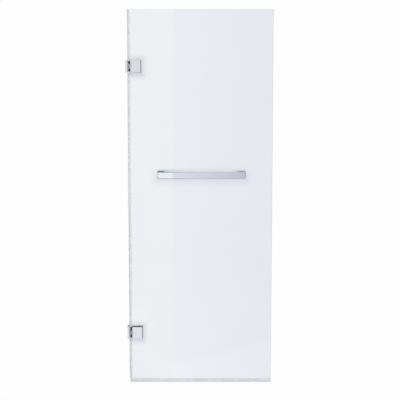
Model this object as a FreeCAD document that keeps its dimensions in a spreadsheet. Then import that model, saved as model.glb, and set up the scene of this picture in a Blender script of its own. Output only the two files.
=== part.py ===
# Pivot tub door: a clear glass panel on two square wall hinges, with a towel bar and clear seals.
# Millimetres. The wall is the plane X = 0 and the door runs out along +X. Z is up.
# The side with the towel bar faces -Y. The origin is the centre of the lower hinge on the wall.
import FreeCAD, Part
import Sketcher
import math
import os
import re

Vector = FreeCAD.Vector
NEAR = 1e-4
HEAD_TAPER = -45
HEXAGON_TURNS = (0, 60, 120, 180, 240, 300)

# Driving sizes. Each row is a name, its value in millimetres and what it is.
GENERAL = [
    ("overrun", 5.0, "how far a cut runs past the solid"),
    ("fit_clearance", 0.02, "radial play of pieces that are fixed in each other"),
    ("running_clearance", 0.05, "radial play of the pin in its bushes and of the plungers"),
    ("seat_clearance", 0.2, "play round pieces that are laid in place"),
]
GLASS = [
    ("glass_width", 560.6, "panel, hinge edge to free edge"),
    ("glass_height", 1465.0, "panel, bottom edge to top edge"),
    ("glass_thickness", 6.0, "panel"),
    ("glass_setback", 10.0, "wall to the panel's hinge edge"),
    ("glass_bevel", 0.8, "bevel along the panel's edges"),
    ("lower_hinge_rise", 198.0, "panel's bottom edge to the lower hinge's centre"),
    ("upper_hinge_drop", 217.0, "panel's top edge to the upper hinge's centre"),
    ("cutout_clearance", 0.5, "gap between a hinge's core and the panel's cut-out"),
]
HINGE = [
    ("hinge_height", 50.0, "wall block and clamp plates"),
    ("wall_block_thickness", 8.8, "wall to the face in the gap"),
    ("wall_block_bevel", 2.0, "bevel round the face in the gap"),
    ("hinge_gap", 8.0, "wall block to clamp plates"),
    ("clamp_width", 44.2, "clamp plates, along the panel"),
    ("plate_thickness", 6.0, "clamp plates"),
    ("plate_bevel", 3.0, "bevel round a clamp plate's outer face"),
    ("gasket_thickness", 1.0, "pads between plates and glass"),
    ("gasket_inset", 0.6, "pad's edge inside the plate's edge"),
    ("axis_inset", 2.7, "pivot axis inside the clamp plates' wall end"),
    ("knuckle_radius", 7.0, "round end of the wall block's knuckle"),
    ("neck_thickness", 6.0, "neck between the wall block and its knuckle"),
    ("knuckle_height", 16.0, "knuckle, along the pin"),
    ("knuckle_clearance", 0.3, "knuckle and neck to their room in the clamp"),
    ("arm_radius", 7.0, "round arms that hold the pin's ends"),
    ("barrel_radius", 9.2, "round end of the clamp towards the wall"),
    ("core_height", 41.0, "core in the glass cut-out, round end and pin"),
    ("core_depth", 16.0, "pivot axis to the end of the core"),
    ("core_corner", 4.5, "round of the core's corners"),
]
PIVOT = [
    ("pin_radius", 4.0, "pivot pin"),
    ("pin_bevel", 0.5, "bevel on the pin's ends"),
    ("bush_wall", 1.0, "pivot bush"),
    ("bush_sleeve", 3.5, "length of the bush inside the arm"),
    ("washer_thickness", 0.75, "flange of the bush, between knuckle and arm"),
    ("washer_clearance", 0.05, "flange to knuckle"),
    ("lock_screw_radius", 2.0, "grub screw in the knuckle"),
    ("lock_screw_sink", 0.4, "grub screw below the knuckle's round"),
    ("plunger_radius", 2.5, "detent plunger"),
    ("plunger_length", 3.75, "detent plunger with its round nose"),
    ("plunger_travel", 0.8, "into a flute of the pin"),
    ("flute_clearance", 0.1, "flute round the plunger's nose"),
    ("spring_wire", 0.5, "detent spring, wire diameter"),
    ("spring_radius", 1.7, "detent spring, to the middle of the wire"),
    ("spring_pitch", 0.9, "detent spring, turn to turn"),
    ("stop_length", 2.4, "screw behind a detent spring"),
    ("stop_sink", 2.5, "that screw below the core's end"),
]
FASTENERS = [
    ("wall_screw_radius", 2.75, "hole for a wall screw"),
    ("wall_screw_spacing", 34.0, "hole to hole"),
    ("wall_screw_flare", 2.75, "how far the countersink widens the hole"),
    ("clamp_screw_radius", 2.5, "clamp screw's thread"),
    ("clamp_screw_flare", 2.2, "how far its head is wider than the thread"),
    ("clamp_screw_setback", 12.0, "clamp plates' free end to the screws"),
    ("clamp_screw_spacing", 28.0, "screw to screw"),
    ("clamp_screw_depth", 4.4, "thread inside the front plate"),
    ("clamp_hole_radius", 5.0, "hole in the glass round a clamp screw"),
    ("screw_clearance", 0.25, "radial play of a screw in a plain hole"),
    ("key_radius", 1.7, "hexagon socket of the countersunk screws, to a corner"),
    ("key_depth", 1.8, "hexagon socket of the countersunk screws"),
    ("small_key_radius", 1.1, "hexagon socket of the grub screws, to a corner"),
    ("small_key_depth", 1.2, "hexagon socket of the grub screws"),
]
SEALS = [
    ("seal_wall", 0.9, "legs of the edge seal"),
    ("seal_web", 1.2, "web of the edge seal"),
    ("seal_leg", 8.2, "legs of the edge seal, along the glass"),
    ("seal_lip", 1.4, "soft lip, towards the wall"),
    ("seal_lip_thickness", 0.7, "soft lip"),
    ("seal_lip_lean", 0.7, "how far the lip's tip leans to the front"),
    ("seal_gap", 0.6, "edge seal to a hinge, or to the sweep"),
    ("sweep_wall", 0.9, "legs of the sweep"),
    ("sweep_web", 1.5, "web of the sweep, under the glass"),
    ("sweep_leg", 10.0, "legs of the sweep, up the glass"),
    ("sweep_inset", 0.5, "sweep's ends inside the panel's edges"),
    ("wiper_height", 5.0, "soft fins below the web"),
    ("wiper_foot", 0.8, "strip that joins the fins"),
    ("wiper_thickness", 0.8, "a fin"),
    ("wiper_splay", 0.7, "a fin's tip outside its root"),
]
BAR = [
    ("bar_length", 342.0, "towel bar with its end caps"),
    ("bar_height", 27.0, "towel bar and posts"),
    ("bar_depth", 12.0, "towel bar, front to back"),
    ("bar_wall", 1.5, "wall of the square tube"),
    ("bar_round", 1.0, "round along the tube's corners"),
    ("bar_rise", 631.5, "lower hinge's centre to the bar's centre"),
    ("bar_offset", 3.2, "bar's middle beyond the panel's middle"),
    ("cap_thickness", 2.0, "end cap outside the tube"),
    ("cap_plug", 6.0, "end cap inside the tube"),
    ("post_width", 26.0, "post, along the bar"),
    ("post_length", 39.0, "post, washer to bar"),
    ("spigot_radius", 5.0, "post's spigot in the tube"),
    ("spigot_length", 8.0, "post's spigot in the tube"),
    ("grub_radius", 2.0, "grub screw through the tube into the spigot"),
    ("bar_washer_thickness", 1.0, "soft washers on both sides of the glass"),
    ("bar_bolt_radius", 3.0, "through bolt"),
    ("bar_bolt_flare", 2.6, "how far its head is wider than the thread"),
    ("bar_bolt_depth", 14.0, "thread inside the post"),
    ("bar_hole_radius", 6.0, "hole in the glass round a through bolt"),
    ("disc_radius", 12.0, "disc under the bolt's head"),
    ("disc_thickness", 6.0, "disc under the bolt's head"),
    ("disc_bevel", 1.0, "bevel round the disc's outer face"),
]

# Sizes and places that follow from the driving sizes.
FOLLOWING = [
    ("glass_half", "glass_thickness / 2"),
    ("glass_base", "-lower_hinge_rise"),
    ("glass_top", "glass_height - lower_hinge_rise"),
    ("glass_end", "glass_setback + glass_width"),
    ("hinge_spacing", "glass_top - upper_hinge_drop"),
    ("hinge_half", "hinge_height / 2"),
    ("gasket_face", "glass_half + gasket_thickness"),
    ("plate_face", "gasket_face + plate_thickness"),
    ("clamp_start", "wall_block_thickness + hinge_gap"),
    ("clamp_end", "clamp_start + clamp_width"),
    ("axis_reach", "clamp_start + axis_inset"),
    ("knuckle_half", "knuckle_height / 2"),
    ("neck_half", "neck_thickness / 2"),
    ("notch_half", "knuckle_half + washer_clearance + washer_thickness"),
    ("notch_end", "axis_reach + neck_half + knuckle_clearance"),
    ("barrel_front_end", "clamp_start - seat_clearance"),
    ("barrel_front", "sqrt(barrel_radius ^ 2 - (axis_inset + seat_clearance) ^ 2)"),
    ("barrel_rear", "sqrt(barrel_radius ^ 2 - axis_inset ^ 2)"),
    ("core_half", "core_height / 2"),
    ("core_end", "axis_reach + core_depth"),
    ("cutout_half", "core_half + cutout_clearance"),
    ("cutout_end", "core_end + cutout_clearance"),
    ("cutout_corner", "core_corner + cutout_clearance"),
    ("bush_bore", "pin_radius + running_clearance"),
    ("bush_radius", "bush_bore + bush_wall"),
    ("bush_end", "notch_half + bush_sleeve"),
    ("detent_height", "(bush_end + core_half) / 2"),
    ("plunger_bore", "plunger_radius + running_clearance"),
    ("plunger_start", "axis_reach + bush_bore"),
    ("plunger_end", "plunger_start + plunger_length"),
    ("flute_start", "(bush_end + detent_height - plunger_radius) / 2"),
    ("flute_centre", "pin_radius - plunger_travel + plunger_radius"),
    ("stop_end", "core_end - stop_sink"),
    ("stop_start", "stop_end - stop_length"),
    ("clamp_screw_reach", "clamp_end - clamp_screw_setback"),
    ("clamp_screw_half", "clamp_screw_spacing / 2"),
    ("clamp_screw_tip", "gasket_face + clamp_screw_depth"),
    ("clamp_screw_bore", "clamp_screw_radius + screw_clearance"),
    ("wall_screw_half", "wall_screw_spacing / 2"),
    ("seal_start", "glass_setback - seal_web"),
    ("seal_end", "glass_setback + seal_leg"),
    ("seal_inner", "glass_half + running_clearance"),
    ("seal_outer", "seal_inner + seal_wall"),
    ("seal_break", "hinge_half + seal_gap"),
    ("sweep_start", "glass_setback + sweep_inset"),
    ("sweep_length", "glass_width - 2 * sweep_inset"),
    ("sweep_inner", "glass_half + running_clearance"),
    ("sweep_outer", "sweep_inner + sweep_wall"),
    ("sweep_roof", "glass_base + sweep_leg"),
    ("sweep_seat", "glass_base - running_clearance"),
    ("sweep_floor", "glass_base - sweep_web"),
    ("wiper_tip", "sweep_floor - wiper_height"),
    ("washer_face", "glass_half + bar_washer_thickness"),
    ("disc_face", "washer_face + disc_thickness"),
    ("post_face", "washer_face + post_length"),
    ("bar_face", "post_face + bar_depth"),
    ("bar_middle", "post_face + bar_depth / 2"),
    ("bar_half", "bar_height / 2"),
    ("bar_start", "glass_setback + glass_width / 2 + bar_offset - bar_length / 2"),
    ("bar_end", "bar_start + bar_length"),
    ("left_post", "bar_start + post_width / 2"),
    ("right_post", "bar_end - post_width / 2"),
    ("bar_bolt_bore", "bar_bolt_radius + screw_clearance"),
]

doc = FreeCAD.newDocument("pivot_tub_door")
sheet = doc.addObject("Spreadsheet::Sheet", "Sizes")
ALIASES = set()
PARTS = []


def enter(row, name, content, note=""):
    """Write one named cell of the sheet."""
    cell = "B%d" % row
    sheet.set("A%d" % row, name)
    sheet.set(cell, content)
    sheet.set("C%d" % row, note)
    sheet.setAlias(cell, name)
    ALIASES.add(name)


def fill_sheet():
    """Driving sizes as plain numbers, then the sizes that follow from them."""
    row = 1
    for section in (GENERAL, GLASS, HINGE, PIVOT, FASTENERS, SEALS, BAR):
        for name, value, note in section:
            enter(row, name, str(value), note)
            row += 1
    for name, formula in FOLLOWING:
        enter(row, name, "=" + formula)
        row += 1
    doc.recompute()


def bound(text):
    """The same expression with each size named as a cell of the sheet."""
    def cell(word):
        return "Sizes." + word.group() if word.group() in ALIASES else word.group()
    return re.sub(r"[a-z][a-z_]+", cell, text)


def number(text):
    """The present value of an expression in named sizes."""
    found = sheet.evalExpression(text)
    return float(getattr(found, "Value", found))


def new_body(label, height=None):
    """An empty body for one sub-part, lifted to its height above the lower hinge."""
    body = doc.addObject("PartDesign::Body", label)
    body.Label = label
    body.AllowCompound = True
    if height:
        body.setExpression("Placement.Base.z", bound(height))
    PARTS.append(body)
    return body


def new_sketch(body, role, offset):
    """A sketch on one of the body's own planes, moved along the plane's normal."""
    sketch = body.newObject("Sketcher::SketchObject", "outline")
    plane = next(item for item in body.Origin.OriginFeatures if item.Role == role)
    sketch.AttachmentSupport = [(plane, "")]
    sketch.MapMode = "FlatFace"
    if offset:
        sketch.setExpression("AttachmentOffset.Base.z", bound(offset))
    return sketch


def fix_point(sketch, geometry, point, x, y):
    """Tie one point of a sketch to two expressions."""
    for kind, text in (("DistanceX", x), ("DistanceY", y)):
        index = sketch.addConstraint(Sketcher.Constraint(kind, -1, 1, geometry, point, number(text)))
        sketch.setExpression("Constraints[%d]" % index, bound(text))


def add_outline(sketch, points):
    """A closed outline of straight lines through points given as pairs of expressions."""
    first = sketch.GeometryCount
    corners = [Vector(number(x), number(y), 0) for x, y in points]
    count = len(corners)
    for index in range(count):
        sketch.addGeometry(Part.LineSegment(corners[index], corners[(index + 1) % count]), False)
    for index in range(count):
        following = first + (index + 1) % count
        sketch.addConstraint(Sketcher.Constraint("Coincident", first + index, 2, following, 1))
    for index, (x, y) in enumerate(points):
        fix_point(sketch, first + index, 1, x, y)


def outline(body, role, points, offset=None):
    """A sketch with one closed outline."""
    sketch = new_sketch(body, role, offset)
    add_outline(sketch, points)
    return sketch


def rectangle(x0, x1, y0, y1):
    """The four corners of a rectangle."""
    return [(x0, y0), (x1, y0), (x1, y1), (x0, y1)]


def circles(body, role, places, radius, offset=None):
    """A sketch with equal circles at places given as pairs of expressions."""
    sketch = new_sketch(body, role, offset)
    for x, y in places:
        centre = Vector(number(x), number(y), 0)
        index = sketch.addGeometry(Part.Circle(centre, Vector(0, 0, 1), number(radius)), False)
        fix_point(sketch, index, 3, x, y)
        size = sketch.addConstraint(Sketcher.Constraint("Radius", index, number(radius)))
        sketch.setExpression("Constraints[%d]" % size, bound(radius))
    return sketch


def hexagon(body, role, places, radius, offset=None):
    """A sketch with equal hexagons at places given as pairs of expressions."""
    sketch = new_sketch(body, role, offset)
    for x, y in places:
        points = [("%s + %s * cos(%d)" % (x, radius, turn), "%s + %s * sin(%d)" % (y, radius, turn))
                  for turn in HEXAGON_TURNS]
        add_outline(sketch, points)
    return sketch


def pad(body, sketch, length, both=False, back=False, taper=0):
    """Add material: along the plane's normal, against it (back), or to both sides."""
    feature = body.newObject("PartDesign::Pad", "pad")
    feature.Profile = sketch
    feature.setExpression("Length", bound(length))
    feature.Midplane = both
    feature.Reversed = back
    feature.TaperAngle = taper
    doc.recompute()
    return feature


def pocket(body, sketch, length=None, both=False, ahead=False):
    """Cut against the plane's normal, along it (ahead) or to both sides; no length cuts through."""
    before = body.Shape.Volume
    feature = body.newObject("PartDesign::Pocket", "pocket")
    feature.Profile = sketch
    if length:
        feature.setExpression("Length", bound(length))
    else:
        feature.Type = "ThroughAll"
    feature.Midplane = both
    feature.Reversed = ahead
    doc.recompute()
    if not before - body.Shape.Volume > NEAR:
        raise RuntimeError("a cut in %s removes nothing" % body.Label)
    return feature


def revolve(body, sketch, axis="V_Axis"):
    """Turn an outline about one of its sketch's axes."""
    feature = body.newObject("PartDesign::Revolution", "turned")
    feature.Profile = sketch
    feature.ReferenceAxis = (sketch, [axis])
    doc.recompute()
    return feature


def mirror(body, features, role):
    """Repeat features on the other side of one of the body's planes."""
    plane = next(item for item in body.Origin.OriginFeatures if item.Role == role)
    feature = body.newObject("PartDesign::Mirrored", "mirrored")
    feature.Originals = features
    feature.MirrorPlane = (plane, [""])
    body.Tip = feature
    doc.recompute()
    return feature


def edge_names(body, wanted):
    """Names of the edges of the body's last feature whose box passes a test."""
    names = []
    for index, edge in enumerate(body.Tip.Shape.Edges):
        if wanted(edge, edge.BoundBox):
            names.append("Edge%d" % (index + 1))
    if not names:
        raise RuntimeError("no edge to finish on %s" % body.Label)
    return names


def finish_edges(body, wanted, size, kind="PartDesign::Chamfer"):
    """Bevel or round the chosen edges."""
    base, names = body.Tip, edge_names(body, wanted)
    feature = body.newObject(kind, "finish")
    feature.Base = (base, names)
    prop = "Size" if kind.endswith("Chamfer") else "Radius"
    feature.setExpression(prop, bound(size))
    doc.recompute()
    return feature


def at(low, high, place):
    """True where an edge's box lies flat at one coordinate."""
    return abs(low - place) < NEAR and abs(high - place) < NEAR


def is_round(edge, radius):
    """True for a circle of the given radius."""
    return hasattr(edge.Curve, "Radius") and abs(edge.Curve.Radius - radius) < NEAR


def outer_edges(face):
    """A test for the straight edges round a hinge plate's outer face."""
    height, start, end = number("hinge_half"), number("clamp_start"), number("clamp_end")

    def wanted(edge, box):
        rim = at(box.ZMin, box.ZMax, height) or at(box.ZMin, box.ZMax, -height)
        rim = rim or at(box.XMin, box.XMax, start) or at(box.XMin, box.XMax, end)
        return at(box.YMin, box.YMax, face) and rim
    return wanted


fill_sheet()
CLAMP_SCREWS = [("clamp_screw_reach", "clamp_screw_half"), ("clamp_screw_reach", "-clamp_screw_half")]
HINGES = {"lower": None, "upper": "hinge_spacing"}
POSTS = ("left_post", "right_post")
BAR_BOLTS = [(post, "bar_rise") for post in POSTS]


# The glass panel
def notch_outline(middle):
    """Corners of one hinge cut-out, from its top down, as the panel's outline runs."""
    top, foot = middle + " + cutout_half", middle + " - cutout_half"
    return [("glass_setback", top), ("cutout_end", top), ("cutout_end", foot), ("glass_setback", foot)]


def glass_panel():
    body = new_body("glass_panel")
    points = [("glass_setback", "glass_base"), ("glass_end", "glass_base")]
    points += [("glass_end", "glass_top"), ("glass_setback", "glass_top")]
    points += notch_outline("hinge_spacing") + notch_outline("0")
    pad(body, outline(body, "XZ_Plane", points), "glass_thickness", both=True)
    ends = number("cutout_end")

    def cutout_corner(edge, box):
        return at(box.XMin, box.XMax, ends) and box.YLength > NEAR
    finish_edges(body, cutout_corner, "cutout_corner", "PartDesign::Fillet")
    screws = []
    for middle in ("0", "hinge_spacing"):
        screws += [(x, "%s + %s" % (middle, z)) for x, z in CLAMP_SCREWS]
    pocket(body, circles(body, "XZ_Plane", screws, "clamp_hole_radius"), both=True)
    pocket(body, circles(body, "XZ_Plane", BAR_BOLTS, "bar_hole_radius"), both=True)
    left, right = number("glass_setback"), number("glass_end")
    low, high = number("glass_base"), number("glass_top")

    def rim(edge, box):
        side = at(box.XMin, box.XMax, left) or at(box.XMin, box.XMax, right)
        side = side or at(box.ZMin, box.ZMax, low) or at(box.ZMin, box.ZMax, high)
        return side and box.YLength < NEAR
    finish_edges(body, rim, "glass_bevel")


# The hinges, wall side
def wall_block(side, height):
    body = new_body(side + "_wall_block", height)
    plate = rectangle("-plate_face", "plate_face", "-hinge_half", "hinge_half")
    pad(body, outline(body, "YZ_Plane", plate), "wall_block_thickness")
    face = number("wall_block_thickness")
    finish_edges(body, lambda edge, box: at(box.XMin, box.XMax, face), "wall_block_bevel")
    neck = rectangle("wall_block_thickness / 2", "axis_reach", "-neck_half", "neck_half")
    pad(body, outline(body, "XY_Plane", neck), "knuckle_height", both=True)
    axis = [("axis_reach", "0")]
    pad(body, circles(body, "XY_Plane", axis, "knuckle_radius"), "knuckle_height", both=True)
    pocket(body, circles(body, "XY_Plane", axis, "pin_radius + fit_clearance"), both=True)
    holes = [("0", "wall_screw_half"), ("0", "-wall_screw_half")]
    pocket(body, circles(body, "YZ_Plane", holes, "wall_screw_radius"), ahead=True)
    radius = number("wall_screw_radius")
    finish_edges(body, lambda edge, box: at(box.XMin, box.XMax, face) and is_round(edge, radius),
                 "wall_screw_flare")
    grub = circles(body, "XZ_Plane", axis, "lock_screw_radius + fit_clearance")
    pocket(body, grub, "knuckle_radius + overrun")


def pivot_pin(side, height):
    body = new_body(side + "_pivot_pin", height)
    axis = [("axis_reach", "0")]
    pad(body, circles(body, "XY_Plane", axis, "pin_radius"), "core_height", both=True)
    finish_edges(body, lambda edge, box: box.ZLength < NEAR, "pin_bevel")
    flutes = [("axis_reach + flute_centre", "0")]
    flutes += [("axis_reach", "flute_centre"), ("axis_reach", "-flute_centre")]
    radius = "plunger_radius + flute_clearance"
    depth = "core_half - flute_start + overrun"
    upper = pocket(body, circles(body, "XY_Plane", flutes, radius, "flute_start"), depth, ahead=True)
    mirror(body, [upper], "XY_Plane")


def pin_lock_screw(side, height):
    body = new_body(side + "_pin_lock_screw", height)
    axis = [("axis_reach", "0")]
    tip = "-pin_radius - fit_clearance"
    length = "knuckle_radius - lock_screw_sink - pin_radius - fit_clearance"
    pad(body, circles(body, "XZ_Plane", axis, "lock_screw_radius", tip), length, back=True)
    back = "lock_screw_sink - knuckle_radius"
    pocket(body, hexagon(body, "XZ_Plane", axis, "small_key_radius", back), "small_key_depth",
           ahead=True)


# The hinges, door side
def cut_knuckle_notch(body):
    """A notch for the neck, open towards the wall, and the round room that the knuckle turns in."""
    start = "axis_reach - barrel_radius - overrun"
    notch = rectangle(start, "notch_end", "-notch_half", "notch_half")
    pocket(body, outline(body, "XZ_Plane", notch), both=True)
    room = circles(body, "XY_Plane", [("axis_reach", "0")], "knuckle_radius + knuckle_clearance")
    pocket(body, room, "2 * notch_half", both=True)


def barrel_outline(body):
    """The clamp's round end: an arc about the pin, closed where the two plates begin."""
    sketch = new_sketch(body, "XY_Plane", None)
    front, rear = number("barrel_front_end"), number("clamp_start")
    corners = [Vector(front, -number("barrel_front"), 0), Vector(front, 0, 0)]
    corners += [Vector(rear, 0, 0), Vector(rear, number("barrel_rear"), 0)]
    for index in range(len(corners) - 1):
        sketch.addGeometry(Part.LineSegment(corners[index], corners[index + 1]), False)
    crown = Vector(number("axis_reach - barrel_radius"), 0, 0)
    arc = sketch.addGeometry(Part.Arc(corners[-1], crown, corners[0]), False)
    sketch.addConstraint(Sketcher.Constraint("Coincident", 0, 2, 1, 1))
    sketch.addConstraint(Sketcher.Constraint("Coincident", 1, 2, 2, 1))
    sketch.addConstraint(Sketcher.Constraint("Coincident", 2, 2, arc, 1))
    sketch.addConstraint(Sketcher.Constraint("Coincident", arc, 2, 0, 1))
    fix_point(sketch, 0, 1, "barrel_front_end", "-barrel_front")
    fix_point(sketch, 1, 1, "barrel_front_end", "0")
    fix_point(sketch, 2, 1, "clamp_start", "0")
    fix_point(sketch, 2, 2, "clamp_start", "barrel_rear")
    size = sketch.addConstraint(Sketcher.Constraint("Radius", arc, number("barrel_radius")))
    sketch.setExpression("Constraints[%d]" % size, bound("barrel_radius"))
    return sketch


def front_clamp_plate(side, height):
    body = new_body(side + "_front_clamp_plate", height)
    plate = rectangle("clamp_start", "clamp_end", "-hinge_half", "hinge_half")
    pad(body, outline(body, "XZ_Plane", plate, "gasket_face"), "plate_thickness")
    finish_edges(body, outer_edges(-number("plate_face")), "plate_bevel")
    cut_knuckle_notch(body)
    arms = circles(body, "XY_Plane", [("axis_reach", "0")], "arm_radius + knuckle_clearance")
    pocket(body, arms, "core_height + 2 * knuckle_clearance", both=True)
    threads = circles(body, "XZ_Plane", CLAMP_SCREWS, "clamp_screw_radius + fit_clearance",
                      "gasket_face")
    pocket(body, threads, "clamp_screw_depth + seat_clearance", ahead=True)


def rear_clamp_body(side, height):
    body = new_body(side + "_rear_clamp_body", height)
    core = rectangle("axis_reach", "core_end", "-core_half", "core_half")
    depth = "2 * gasket_face - seat_clearance"
    pad(body, outline(body, "XZ_Plane", core, "-gasket_face"), depth)
    end = number("core_end")
    finish_edges(body, lambda edge, box: at(box.XMin, box.XMax, end) and box.YLength > NEAR,
                 "core_corner", "PartDesign::Fillet")
    plate = rectangle("clamp_start", "clamp_end", "-hinge_half", "hinge_half")
    pad(body, outline(body, "XZ_Plane", plate, "-gasket_face"), "plate_thickness", back=True)
    finish_edges(body, outer_edges(number("plate_face")), "plate_bevel")
    axis = [("axis_reach", "0")]
    pad(body, circles(body, "XY_Plane", axis, "arm_radius"), "core_height", both=True)
    pad(body, barrel_outline(body), "core_height", both=True)
    cut_knuckle_notch(body)
    pocket(body, circles(body, "XY_Plane", axis, "bush_bore + seat_clearance"), both=True)
    pocket(body, circles(body, "XY_Plane", axis, "bush_radius + fit_clearance"), "2 * bush_end",
           both=True)
    bores = [("0", "detent_height"), ("0", "-detent_height")]
    pocket(body, circles(body, "YZ_Plane", bores, "plunger_bore", "axis_reach"), ahead=True)
    pocket(body, circles(body, "XZ_Plane", CLAMP_SCREWS, "clamp_screw_bore"), both=True)
    face, radius = number("plate_face"), number("clamp_screw_bore")
    finish_edges(body, lambda edge, box: at(box.YMin, box.YMax, face) and is_round(edge, radius),
                 "clamp_screw_flare")


def gasket(side, height, name, back):
    body = new_body("%s_%s_gasket" % (side, name), height)
    start, end = "clamp_start + gasket_inset", "clamp_end - gasket_inset"
    top = "hinge_half - gasket_inset"
    points = [(start, "-hinge_half + gasket_inset"), (end, "-hinge_half + gasket_inset")]
    points += [(end, top), (start, top), (start, "cutout_half"), ("cutout_end", "cutout_half")]
    points += [("cutout_end", "-cutout_half"), (start, "-cutout_half")]
    offset = "-glass_half" if back else "glass_half"
    pad(body, outline(body, "XZ_Plane", points, offset), "gasket_thickness", back=back)
    pocket(body, circles(body, "XZ_Plane", CLAMP_SCREWS, "clamp_hole_radius"), both=True)


def pivot_bushes(side, height):
    body = new_body(side + "_pivot_bushes", height)
    axis = [("axis_reach", "0")]
    base = "knuckle_half + washer_clearance"
    flange = circles(body, "XY_Plane", axis, "knuckle_radius - seat_clearance", base)
    flange = pad(body, flange, "washer_thickness")
    sleeve = pad(body, circles(body, "XY_Plane", axis, "bush_radius", base),
                 "washer_thickness + bush_sleeve")
    mirror(body, [flange, sleeve], "XY_Plane")
    pocket(body, circles(body, "XY_Plane", axis, "bush_bore"), both=True)


def countersunk_screws(body, places, radius, flare, head, tip):
    """Screws along Y: head flush with a rear face, tip towards the front."""
    face = "-(%s)" % head
    pad(body, circles(body, "XZ_Plane", places, radius, face), "%s + %s" % (head, tip))
    cones = circles(body, "XZ_Plane", places, "%s + %s" % (radius, flare), face)
    pad(body, cones, flare, taper=HEAD_TAPER)
    sockets = hexagon(body, "XZ_Plane", places, "key_radius", face)
    pocket(body, sockets, "key_depth", ahead=True)


def clamp_screws(side, height):
    body = new_body(side + "_clamp_screws", height)
    countersunk_screws(body, CLAMP_SCREWS, "clamp_screw_radius", "clamp_screw_flare",
                      "plate_face - seat_clearance", "clamp_screw_tip")


def screw_sleeves(side, height):
    body = new_body(side + "_screw_sleeves", height)
    outer = "clamp_hole_radius - seat_clearance"
    pad(body, circles(body, "XZ_Plane", CLAMP_SCREWS, outer), "2 * gasket_face", both=True)
    pocket(body, circles(body, "XZ_Plane", CLAMP_SCREWS, "clamp_screw_bore"), both=True)


def detent_plungers(side, height):
    body = new_body(side + "_detent_plungers", height)
    for sign in ("", "-"):
        place = [("0", sign + "detent_height")]
        middle = "plunger_start + plunger_radius"
        pad(body, circles(body, "YZ_Plane", place, "plunger_radius", middle),
            "plunger_length - plunger_radius")
        nose = new_sketch(body, "XZ_Plane", None)
        nose.setExpression("AttachmentOffset.Base.y", bound(sign + "detent_height"))
        add_nose(nose)
        revolve(body, nose, "H_Axis")


def add_nose(sketch):
    """Quarter round from the plunger's tip to its side, closed along its axis."""
    tip, middle = number("plunger_start"), number("plunger_start + plunger_radius")
    radius = number("plunger_radius")
    centre = Vector(middle, 0, 0)
    circle = Part.Circle(centre, Vector(0, 0, 1), radius)
    arc = sketch.addGeometry(Part.ArcOfCircle(circle, math.pi / 2, math.pi), False)
    down = sketch.addGeometry(Part.LineSegment(Vector(middle, 0, 0), Vector(middle, radius, 0)), False)
    base = sketch.addGeometry(Part.LineSegment(Vector(tip, 0, 0), centre), False)
    sketch.addConstraint(Sketcher.Constraint("Coincident", arc, 1, down, 2))
    sketch.addConstraint(Sketcher.Constraint("Coincident", arc, 2, base, 1))
    sketch.addConstraint(Sketcher.Constraint("Coincident", base, 2, down, 1))
    sketch.addConstraint(Sketcher.Constraint("Coincident", arc, 3, down, 1))
    sketch.addConstraint(Sketcher.Constraint("Vertical", down))
    sketch.addConstraint(Sketcher.Constraint("Horizontal", base))
    fix_point(sketch, down, 1, "plunger_start + plunger_radius", "0")
    size = sketch.addConstraint(Sketcher.Constraint("Radius", arc, radius))
    sketch.setExpression("Constraints[%d]" % size, bound("plunger_radius"))


def detent_springs(side, height):
    body = new_body(side + "_detent_springs", height)
    for sign in ("", "-"):
        ring = circles(body, "XZ_Plane", [("plunger_end + spring_wire / 2 + seat_clearance / 2",
                                           "spring_radius")], "spring_wire / 2")
        ring.setExpression("AttachmentOffset.Base.y", bound(sign + "detent_height"))
        doc.recompute()
        coil = body.newObject("PartDesign::AdditiveHelix", "coil")
        coil.Profile = ring
        coil.ReferenceAxis = (ring, ["H_Axis"])
        coil.Mode = 0
        coil.setExpression("Pitch", bound("spring_pitch"))
        length = "stop_start - plunger_end - spring_wire - seat_clearance"
        coil.setExpression("Height", bound(length))
        doc.recompute()


def detent_stop_screws(side, height):
    body = new_body(side + "_detent_stop_screws", height)
    places = [("0", "detent_height"), ("0", "-detent_height")]
    pad(body, circles(body, "YZ_Plane", places, "plunger_radius", "stop_start"), "stop_length")
    pocket(body, hexagon(body, "YZ_Plane", places, "small_key_radius", "stop_end"), "small_key_depth")


# Seals
def edge_seal(label, low, high):
    """A channel on the panel's hinge edge with a soft lip towards the wall."""
    body = new_body(label)
    lip = "seal_lip_thickness / 2"
    points = [("seal_start", "-seal_outer"), ("seal_end", "-seal_outer"), ("seal_end", "-seal_inner")]
    points += [("glass_setback - running_clearance", "-seal_inner")]
    points += [("glass_setback - running_clearance", "seal_inner"), ("seal_end", "seal_inner")]
    points += [("seal_end", "seal_outer"), ("seal_start", "seal_outer"), ("seal_start", lip)]
    points += [("seal_start - seal_lip", "%s - seal_lip_lean" % lip)]
    points += [("seal_start - seal_lip", "-%s - seal_lip_lean" % lip), ("seal_start", "-" + lip)]
    pad(body, outline(body, "XY_Plane", points, low), "%s - (%s)" % (high, low))


def sweep_carrier():
    body = new_body("sweep_carrier")
    points = [("-sweep_outer", "sweep_floor"), ("sweep_outer", "sweep_floor")]
    points += [("sweep_outer", "sweep_roof"), ("sweep_inner", "sweep_roof")]
    points += [("sweep_inner", "sweep_seat"), ("-sweep_inner", "sweep_seat")]
    points += [("-sweep_inner", "sweep_roof"), ("-sweep_outer", "sweep_roof")]
    pad(body, outline(body, "YZ_Plane", points, "sweep_start"), "sweep_length")


def sweep_wiper():
    body = new_body("sweep_wiper")
    foot = "sweep_floor - wiper_foot"
    right = [("sweep_outer", "sweep_floor"), ("sweep_outer + wiper_splay", "wiper_tip")]
    right += [("sweep_outer + wiper_splay - wiper_thickness", "wiper_tip")]
    right += [("sweep_outer - wiper_thickness", foot)]
    left = [("-(%s)" % y, z) for y, z in reversed(right)]
    pad(body, outline(body, "YZ_Plane", right + left, "sweep_start"), "sweep_length")


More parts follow.
